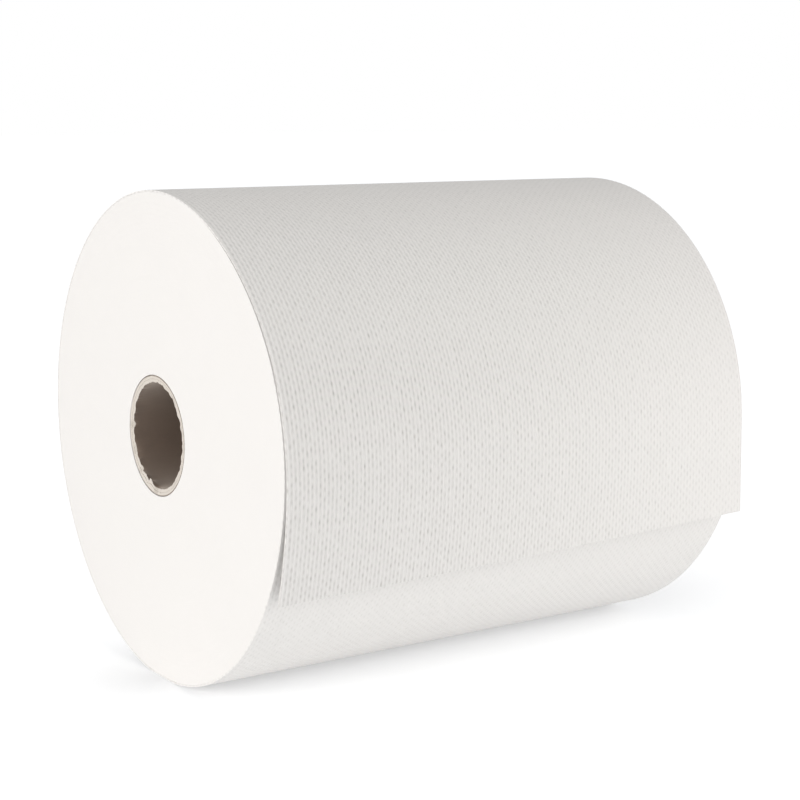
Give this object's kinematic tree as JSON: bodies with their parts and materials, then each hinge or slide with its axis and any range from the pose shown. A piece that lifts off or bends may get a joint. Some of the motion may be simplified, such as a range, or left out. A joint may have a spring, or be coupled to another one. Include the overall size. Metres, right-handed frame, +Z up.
{
  "type": "paper towel roll",
  "caption": "Wide roll of embossed paper towel wound on a cardboard core, lying on its side with the loose end of the sheet hanging down the front.",
  "frame": {"origin": "centre of the core's bore, half way along the roll", "axes": "+X along the roll's axis, +Z up, the loose end hangs on the -Y side"},
  "size_m": [0.203, 0.1804, 0.1789],
  "materials": {
    "towel_paper": "matt embossed white paper",
    "core_board": "matt grey-brown board"
  },
  "bodies": {
    "root": {"paper_roll": "towel_paper", "core_tube": "core_board"}
  },
  "joints": []
}
